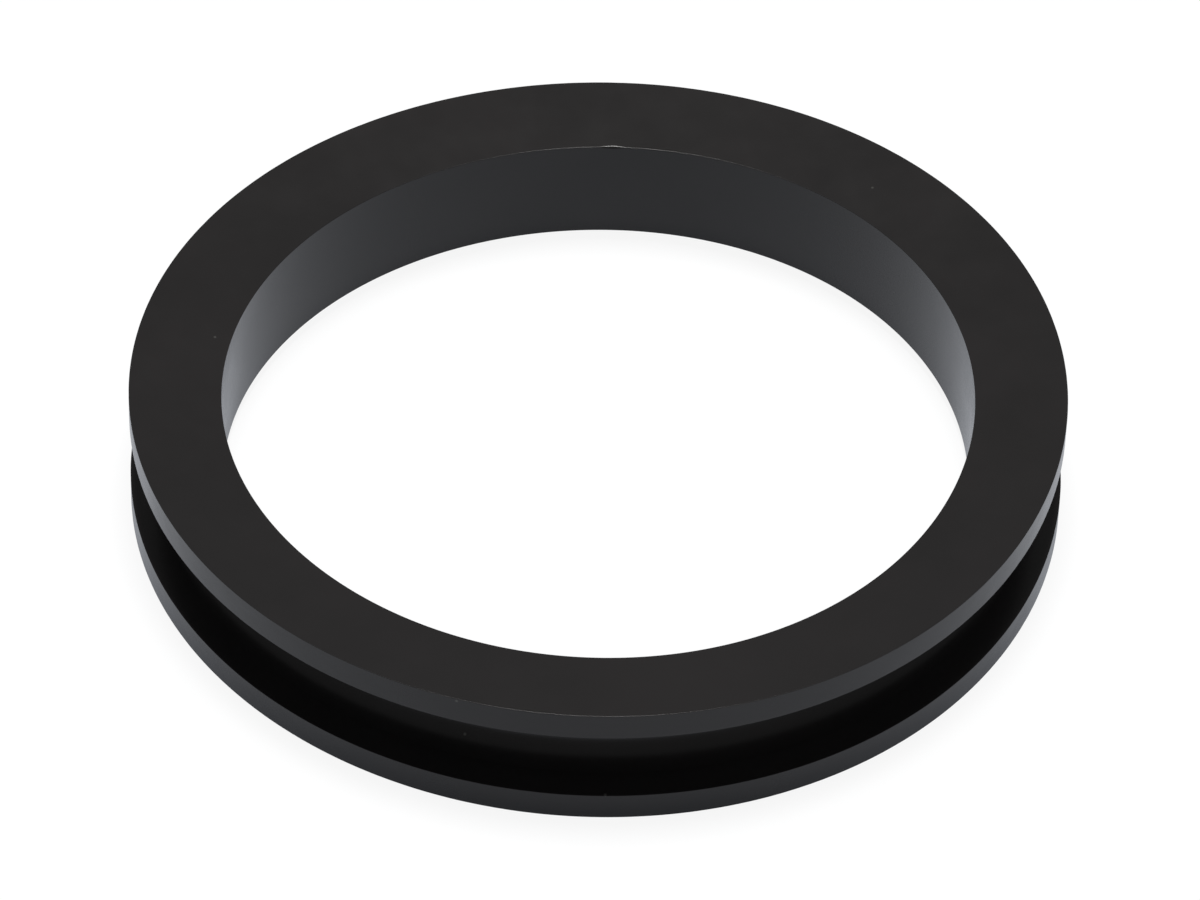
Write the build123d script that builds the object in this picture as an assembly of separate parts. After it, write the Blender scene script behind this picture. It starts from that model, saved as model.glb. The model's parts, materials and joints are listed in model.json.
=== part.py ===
from build123d import *
import math
import os

# A one-piece rubber U-cup ring seal. Its section is a U turned outwards: a heel that grips
# a spigot, and two lips that lean apart towards the rim, with a deep groove between them.
# Millimetres, +Z up the ring's axis. The origin is on the axis, in the plane it stands on.

# Ring
BORE_D = 80.0           # diameter of the bore that grips the spigot
SECTION_WIDTH = 9.75    # radial width of the section, from the bore to the lips' rims
HEEL_HEIGHT = 12.0      # height of the section at the bore
LIP_FLARE = 1.2         # how far each lip's outer face climbs from the bore to the rim

# Lips and groove
TIP_THICKNESS = 3.1     # lip thickness at the rim, measured along the axis
ROOT_THICKNESS = 3.4    # lip thickness at the groove's floor, measured along the axis
HEEL_THICKNESS = 5.0    # radial thickness of the heel, from the bore to the groove's floor
ROOT_RADIUS = 1.5       # inside corners at the groove's floor

# Lead-in at both ends of the bore, so that the heel slides onto its spigot
BORE_CHAMFER = 0.25

# Worked out from the sizes above
BORE_R = BORE_D / 2
RIM_R = BORE_R + SECTION_WIDTH
FLOOR_R = BORE_R + HEEL_THICKNESS


def face_height(radius):
    """Height of the sloping outer face above the mid-plane, at a radius."""
    return HEEL_HEIGHT / 2 + LIP_FLARE * (radius - BORE_R) / SECTION_WIDTH


def corners_at(section, radius):
    """The section's corners that lie at a radius."""
    return section.vertices().filter_by(lambda corner: math.isclose(corner.X, radius))


def u_section():
    """The U-shaped section in the XZ plane, even about z = 0. The lips' edges stay sharp."""
    upper = [
        (BORE_R, face_height(BORE_R)),
        (RIM_R, face_height(RIM_R)),
        (RIM_R, face_height(RIM_R) - TIP_THICKNESS),
        (FLOOR_R, face_height(FLOOR_R) - ROOT_THICKNESS),
    ]
    lower = [(radius, -height) for radius, height in reversed(upper)]
    section = Plane.XZ * make_face(Polyline(*upper, *lower, close=True))
    section = fillet(corners_at(section, FLOOR_R), ROOT_RADIUS)
    return chamfer(corners_at(section, BORE_R), BORE_CHAMFER)


def seal_ring():
    """The whole seal: its section turned once round the axis, standing on z = 0."""
    return Pos(0, 0, face_height(RIM_R)) * revolve(u_section(), Axis.Z)


os.makedirs("parts", exist_ok=True)
export_step(seal_ring(), "parts/seal_ring.step")
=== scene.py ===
import json
import math

import bpy
from mathutils import Matrix, Vector, noise


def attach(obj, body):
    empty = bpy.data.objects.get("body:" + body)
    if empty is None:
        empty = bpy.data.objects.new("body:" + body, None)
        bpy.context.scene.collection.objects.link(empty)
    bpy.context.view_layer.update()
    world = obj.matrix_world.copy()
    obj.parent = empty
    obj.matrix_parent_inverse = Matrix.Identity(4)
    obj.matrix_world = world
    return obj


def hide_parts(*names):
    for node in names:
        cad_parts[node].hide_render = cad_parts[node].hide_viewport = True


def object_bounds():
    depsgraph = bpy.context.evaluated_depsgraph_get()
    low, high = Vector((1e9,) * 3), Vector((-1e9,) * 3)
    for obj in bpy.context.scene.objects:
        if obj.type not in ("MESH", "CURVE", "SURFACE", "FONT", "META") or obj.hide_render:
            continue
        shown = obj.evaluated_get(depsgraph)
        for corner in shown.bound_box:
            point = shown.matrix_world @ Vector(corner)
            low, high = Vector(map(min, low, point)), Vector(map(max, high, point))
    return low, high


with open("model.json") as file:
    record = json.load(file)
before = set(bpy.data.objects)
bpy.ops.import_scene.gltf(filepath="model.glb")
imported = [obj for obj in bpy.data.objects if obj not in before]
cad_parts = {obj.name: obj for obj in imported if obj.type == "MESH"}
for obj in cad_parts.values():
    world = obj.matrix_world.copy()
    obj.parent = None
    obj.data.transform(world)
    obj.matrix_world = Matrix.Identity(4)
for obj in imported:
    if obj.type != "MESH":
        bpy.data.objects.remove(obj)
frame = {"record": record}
cad_low, cad_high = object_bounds()

MM = 0.001                # metres in a millimetre

# ---------------------------------------------------------------------------
# The ring's sizes, in millimetres. Bearings are in degrees, anticlockwise from +X.
# The bore, the rims and the mid-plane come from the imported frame.
# ---------------------------------------------------------------------------
MOUNTS = {mount["name"]: mount for mount in frame["record"]["mounts"]}
BORE_R = MOUNTS["spigot_bore"]["dims"]["r_mm"]
RIM_R = MOUNTS["lip_rims"]["dims"]["r_mm"]
MID_Z = MOUNTS["spigot_bore"]["pos_m"][2] / MM

# Outside of the section, and the lips, as in the CAD solid
HEEL_HEIGHT = 12.0        # height of the section at the bore
LIP_FLARE = 1.2           # how far an outer face climbs from the bore to the rim
TIP_THICKNESS = 3.1       # lip at the rim
ROOT_THICKNESS = 3.4      # lip at the groove's floor

# The groove, which is deeper here than in the CAD solid, with rounder inside corners
HEEL_THICKNESS = 4.0      # from the bore to the groove's floor
ROOT_RADIUS = 3.5         # inside corners, which leave the floor nearly half round

# Roundings of the edges. The CAD solid has small chamfers at the bore and sharp lip edges.
HEEL_EDGE = 0.06          # the bore's two edges
LIP_EDGE = 0.05           # the lips' edges

# Moulding errors of a soft ring, each as (waves round the ring, height, bearing of a crest)
OUT_OF_ROUND = [(2, 0.405, 62), (3, 0.214, 51)]

# Trimming marks on the rims
MARK_DEPTH = 0.012
MARK_REACH = 1.0          # how far in from the rims they fade out
MARK_DENSITY = 30         # noise cells for each radian round the ring
MARK_HARSHNESS = 0.6      # how fast the finer layers of noise weaken
MARK_GAP = 2.0            # how much finer each layer is than the last
MARK_LAYERS = 4

# A worn spot on the bore's top edge
NICK_BEARING = 89.4
NICK_HALF_LENGTH = 1.8
NICK_EDGE = 0.30          # rounding of the edge at its middle

# The mesh
TURNS = 540               # steps round the ring
ARC_STEPS = 6             # steps round each corner's arc
RUN_STEPS = 8             # steps along each straight run of the section
SUPPORT = 0.05            # short step beside an arc, which keeps the flats' shading flat

# ---------------------------------------------------------------------------
# Looks. Noise and dust scales are in cells for each metre.
# ---------------------------------------------------------------------------
RUBBER_BLACK = (0.0108, 0.0102, 0.0103)
RUBBER_BLOOM = (0.0128, 0.0118, 0.0120)    # where a faint bloom greys the surface
SPECULAR_LEVEL = 0.25
NOISE_ROUGHNESS = 0.55

CLOUD_SCALE = 60          # patches of bloom
CLOUD_DETAIL = 3
CLOUD_RANGE = (0.35, 0.65)

SMEAR_SCALE = 180         # patches of duller and glossier surface
SMEAR_DETAIL = 5
SMEAR_RANGE = (0.3, 0.7)
ROUGHNESS_RANGE = (0.22, 0.27)

GRAIN_SCALE = 4200        # the mould's fine grain, as bump
GRAIN_DETAIL = 3
GRAIN_STRENGTH = 0.12
GRAIN_HEIGHT = 0.00003    # metres

DUST_COLOUR = (0.055, 0.055, 0.052)
DUST_SCALE = 165
DUST_EDGE = (0.016, 0.034)    # a speck fades out between these distances from its middle, in cells

PLAIN_WHITE = (1.0, 1.0, 1.0)
FLOOR_WHITE = (0.86, 0.88, 0.91)
FLOOR_HALF = 3.0          # half of the floor's side, in metres
CAMERA_WHITE = 0.90       # how much of the floor the camera sees as plain white
GLOSS_WHITE = 0.7         # and how much of it reflections see
GLOSS_TINT = (0.78, 0.82, 0.90)    # that white, as reflections see it

WORLD_LEVEL = 0.25        # the world's light on the object
WORLD_WHITE = 1.0         # the world as the camera sees it

LAMP_BEARING = 180        # degrees from the camera's side: 180 is behind the ring
LAMP_ELEVATION = 82       # degrees above the floor
LAMP_DISTANCE = 1.2       # metres
LAMP_SIDE = 0.3           # metres
LAMP_POWER = 16.0         # watts
LAMP_COLOUR = (1.0, 0.985, 0.97)

CAMERA_ELEVATION = 41.91      # degrees above the floor
CAMERA_DISTANCE = 0.7597      # metres from the ring's axis, where it is level with the upper rim
CAMERA_PAN = -0.011           # degrees, positive to the left
CAMERA_TILT = -0.531          # degrees, positive upwards: aimed low, the ring stands above the middle
CAMERA_ROLL = 1.912           # degrees, positive anticlockwise for someone behind the camera
LENS = 216.0                  # millimetres
SENSOR_WIDTH = 36.0           # millimetres


# ---------------------------------------------------------------------------
# The ring's mesh
# ---------------------------------------------------------------------------
def face_height(radius):
    """Height of the outer face above the mid-plane, at a radius."""
    return HEEL_HEIGHT / 2 + LIP_FLARE * (radius - BORE_R) / (RIM_R - BORE_R)


def section_corners(top_heel_edge):
    """The U section's corners, each as (point, rounding). Points are (radius, height)."""
    floor_r = BORE_R + HEEL_THICKNESS
    upper = [
        (BORE_R, face_height(BORE_R), HEEL_EDGE),
        (RIM_R, face_height(RIM_R), LIP_EDGE),
        (RIM_R, face_height(RIM_R) - TIP_THICKNESS, LIP_EDGE),
        (floor_r, face_height(floor_r) - ROOT_THICKNESS, ROOT_RADIUS),
    ]
    lower = [(radius, -height, edge) for radius, height, edge in reversed(upper)]
    upper[0] = (BORE_R, face_height(BORE_R), top_heel_edge)
    return [(Vector((radius, height)), edge) for radius, height, edge in upper + lower]


def corner_arc(before, corner, after, rounding):
    """Points of the arc that rounds one corner, with a support point either side."""
    back = (before - corner).normalized()
    on = (after - corner).normalized()
    half_angle = back.angle(on) / 2
    centre = corner + (back + on).normalized() * rounding / math.sin(half_angle)
    reach = rounding / math.tan(half_angle)
    start = (corner + back * reach - centre).normalized()
    end = (corner + on * reach - centre).normalized()
    points = [corner + back * (reach + SUPPORT)]
    for step in range(ARC_STEPS + 1):
        points.append(centre + start.slerp(end, step / ARC_STEPS) * rounding)
    points.append(corner + on * (reach + SUPPORT))
    return points


def section_outline(top_heel_edge):
    """The rounded section as a closed loop of points, each straight run cut into short steps."""
    corners = section_corners(top_heel_edge)
    count = len(corners)
    arcs = [
        corner_arc(corners[i - 1][0], corners[i][0], corners[(i + 1) % count][0], corners[i][1])
        for i in range(count)
    ]
    outline = []
    for i, arc in enumerate(arcs):
        run_start = arc[-1]
        run_end = arcs[(i + 1) % count][0]
        outline += arc
        outline += [run_start.lerp(run_end, k / RUN_STEPS) for k in range(1, RUN_STEPS)]
    return outline


def nick_share(turn):
    """How much of the worn spot shows at a turn round the axis: 1 at its middle, 0 off it."""
    off = abs(turn - math.radians(NICK_BEARING)) * BORE_R / NICK_HALF_LENGTH
    return max(0.0, 1 - off * off) ** 2


def mark_depth(point, turn):
    """What a trimming mark adds to a rim's radius, which is 0 or less."""
    on_rim = max(0.0, 1 - (RIM_R - point.x) / MARK_REACH)
    place = Vector((MARK_DENSITY * math.cos(turn), MARK_DENSITY * math.sin(turn), point.y))
    mark = noise.fractal(place, MARK_HARSHNESS, MARK_GAP, MARK_LAYERS)
    return min(0.0, MARK_DEPTH * on_rim * mark)


def ring_point(point, turn):
    """Where a section point lies after a turn round the axis, with the moulding's small errors."""
    radius = point.x
    for waves, height, bearing in OUT_OF_ROUND:
        radius += height * math.cos(waves * (turn - math.radians(bearing)))
    radius += mark_depth(point, turn)
    return Vector((radius * math.cos(turn), radius * math.sin(turn), MID_Z + point.y)) * MM


def make_ring():
    """The seal as one closed mesh."""
    plain = section_outline(HEEL_EDGE)
    worn = section_outline(NICK_EDGE)
    size = len(plain)
    points = []
    for step in range(TURNS):
        turn = 2 * math.pi * step / TURNS
        share = nick_share(turn)
        points += [ring_point(a.lerp(b, share), turn) for a, b in zip(plain, worn)]
    faces = []
    for step in range(TURNS):
        here = step * size
        there = (step + 1) % TURNS * size
        for i in range(size):
            j = (i + 1) % size
            faces.append((here + i, here + j, there + j, there + i))
    mesh = bpy.data.meshes.new("seal_ring_skin")
    mesh.from_pydata(points, [], faces)
    mesh.validate()
    mesh.polygons.foreach_set("use_smooth", [True] * len(mesh.polygons))
    ring = bpy.data.objects.new("seal_ring_skin", mesh)
    bpy.context.collection.objects.link(ring)
    return ring


# ---------------------------------------------------------------------------
# Materials
# ---------------------------------------------------------------------------
def new_material(name):
    """An empty node material, as (material, its tree, its output node)."""
    material = bpy.data.materials.new(name)
    material.use_nodes = True
    tree = material.node_tree
    tree.nodes.clear()
    output = tree.nodes.new("ShaderNodeOutputMaterial")
    return material, tree, output


def link(tree, source, target):
    tree.links.new(source, target)


def noise_node(tree, coords, scale, detail):
    """Noise from 0 to 1."""
    node = tree.nodes.new("ShaderNodeTexNoise")
    node.inputs["Scale"].default_value = scale
    node.inputs["Detail"].default_value = detail
    node.inputs["Roughness"].default_value = NOISE_ROUGHNESS
    link(tree, coords, node.inputs["Vector"])
    return node.outputs["Fac"]


def remap(tree, value, from_range, to_range):
    """A value moved from one range to another, and held within it."""
    node = tree.nodes.new("ShaderNodeMapRange")
    node.inputs["From Min"].default_value = from_range[0]
    node.inputs["From Max"].default_value = from_range[1]
    node.inputs["To Min"].default_value = to_range[0]
    node.inputs["To Max"].default_value = to_range[1]
    link(tree, value, node.inputs["Value"])
    return node.outputs["Result"]


def mix_colour(tree, factor, first, second):
    """A mix of two colours, each a plain colour or another node's output."""
    node = tree.nodes.new("ShaderNodeMix")
    node.data_type = "RGBA"
    link(tree, factor, node.inputs["Factor"])
    for socket, colour in (("A", first), ("B", second)):
        target = [i for i in node.inputs if i.name == socket and i.type == "RGBA"][0]
        if isinstance(colour, tuple):
            target.default_value = (*colour, 1)
        else:
            link(tree, colour, target)
    return [o for o in node.outputs if o.type == "RGBA"][0]


def dust(tree, coords):
    """Mask of a few small specks: 1 on a speck, 0 off it."""
    cells = tree.nodes.new("ShaderNodeTexVoronoi")
    cells.inputs["Scale"].default_value = DUST_SCALE
    link(tree, coords, cells.inputs["Vector"])
    return remap(tree, cells.outputs["Distance"], DUST_EDGE, (1, 0))


def rubber():
    """Matt black moulded rubber: faint cloudy bloom, fine grain and a few specks of dust."""
    material, tree, output = new_material("black_rubber_look")
    shader = tree.nodes.new("ShaderNodeBsdfPrincipled")
    coords = tree.nodes.new("ShaderNodeTexCoord").outputs["Object"]

    cloud = noise_node(tree, coords, CLOUD_SCALE, CLOUD_DETAIL)
    bloom = remap(tree, cloud, CLOUD_RANGE, (0, 1))
    base = mix_colour(tree, bloom, RUBBER_BLACK, RUBBER_BLOOM)
    base = mix_colour(tree, dust(tree, coords), base, DUST_COLOUR)
    link(tree, base, shader.inputs["Base Color"])

    smear = noise_node(tree, coords, SMEAR_SCALE, SMEAR_DETAIL)
    link(tree, remap(tree, smear, SMEAR_RANGE, ROUGHNESS_RANGE), shader.inputs["Roughness"])
    shader.inputs["Specular IOR Level"].default_value = SPECULAR_LEVEL

    bump = tree.nodes.new("ShaderNodeBump")
    bump.inputs["Strength"].default_value = GRAIN_STRENGTH
    bump.inputs["Distance"].default_value = GRAIN_HEIGHT
    link(tree, noise_node(tree, coords, GRAIN_SCALE, GRAIN_DETAIL), bump.inputs["Height"])
    link(tree, bump.outputs["Normal"], shader.inputs["Normal"])
    link(tree, shader.outputs["BSDF"], output.inputs["Surface"])
    return material


def white_floor():
    """Pale floor that keeps the object's shadow, mixed with plain white for camera and gloss."""
    material, tree, output = new_material("white_floor")
    matt = tree.nodes.new("ShaderNodeBsdfDiffuse")
    matt.inputs["Color"].default_value = (*FLOOR_WHITE, 1)
    plain = tree.nodes.new("ShaderNodeEmission")
    path = tree.nodes.new("ShaderNodeLightPath")
    gloss_share = tree.nodes.new("ShaderNodeMath")
    gloss_share.operation = "MULTIPLY"
    gloss_share.inputs[1].default_value = GLOSS_WHITE
    link(tree, path.outputs["Is Glossy Ray"], gloss_share.inputs[0])
    share = tree.nodes.new("ShaderNodeMath")
    share.operation = "MULTIPLY_ADD"
    share.inputs[1].default_value = CAMERA_WHITE
    link(tree, path.outputs["Is Camera Ray"], share.inputs[0])
    link(tree, gloss_share.outputs["Value"], share.inputs[2])
    tint = mix_colour(tree, path.outputs["Is Glossy Ray"], PLAIN_WHITE, GLOSS_TINT)
    link(tree, tint, plain.inputs["Color"])
    mix = tree.nodes.new("ShaderNodeMixShader")
    link(tree, share.outputs["Value"], mix.inputs["Fac"])
    link(tree, matt.outputs["BSDF"], mix.inputs[1])
    link(tree, plain.outputs["Emission"], mix.inputs[2])
    link(tree, mix.outputs["Shader"], output.inputs["Surface"])
    return material


# ---------------------------------------------------------------------------
# Stage, light and camera
# ---------------------------------------------------------------------------
def make_floor():
    """A flat square floor at z = 0, which the ring lies on."""
    corners = [
        (-FLOOR_HALF, -FLOOR_HALF, 0),
        (FLOOR_HALF, -FLOOR_HALF, 0),
        (FLOOR_HALF, FLOOR_HALF, 0),
        (-FLOOR_HALF, FLOOR_HALF, 0),
    ]
    mesh = bpy.data.meshes.new("floor")
    mesh.from_pydata(corners, [], [(0, 1, 2, 3)])
    floor = bpy.data.objects.new("floor", mesh)
    floor.data.materials.append(white_floor())
    bpy.context.collection.objects.link(floor)


def make_world():
    """White to the camera, and a dim even grey to the object."""
    world = bpy.data.worlds.new("studio")
    world.use_nodes = True
    bpy.context.scene.world = world
    tree = world.node_tree
    background = tree.nodes["Background"]
    path = tree.nodes.new("ShaderNodeLightPath")
    level = remap(tree, path.outputs["Is Camera Ray"], (0, 1), (WORLD_LEVEL, WORLD_WHITE))
    link(tree, level, background.inputs["Strength"])
    background.inputs["Color"].default_value = (*PLAIN_WHITE, 1)


def make_lamp():
    """One square area light, high behind the ring, that faces the middle of the floor."""
    light = bpy.data.lights.new("overhead", "AREA")
    light.shape = "SQUARE"
    light.size = LAMP_SIDE
    light.energy = LAMP_POWER
    light.color = LAMP_COLOUR
    lamp = bpy.data.objects.new("overhead", light)
    a = math.radians(LAMP_BEARING)
    e = math.radians(LAMP_ELEVATION)
    away = Vector((math.sin(a) * math.cos(e), -math.cos(a) * math.cos(e), math.sin(e)))
    lamp.location = away * LAMP_DISTANCE
    lamp.rotation_euler = away.to_track_quat("Z", "Y").to_euler()
    bpy.context.collection.objects.link(lamp)


def make_camera():
    """A long lens in front of the ring, looking down on it."""
    data = bpy.data.cameras.new("camera")
    data.sensor_width = SENSOR_WIDTH
    data.lens = LENS
    camera = bpy.data.objects.new("camera", data)
    e = math.radians(CAMERA_ELEVATION)
    away = Vector((0, -math.cos(e), math.sin(e)))
    target = Vector((0, 0, cad_high.z))
    place = Matrix.Translation(target + away * CAMERA_DISTANCE)
    aim = away.to_track_quat("Z", "Y").to_matrix().to_4x4()
    pan = Matrix.Rotation(math.radians(CAMERA_PAN), 4, "Y")
    tilt = Matrix.Rotation(math.radians(CAMERA_TILT), 4, "X")
    roll = Matrix.Rotation(math.radians(CAMERA_ROLL), 4, "Z")
    camera.matrix_world = place @ aim @ pan @ tilt @ roll
    bpy.context.collection.objects.link(camera)
    bpy.context.scene.camera = camera


ring = make_ring()
ring.data.materials.append(rubber())
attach(ring, "root")
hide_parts("seal_ring")

make_floor()
make_world()
make_lamp()
make_camera()
bpy.context.scene.view_settings.view_transform = "Standard"
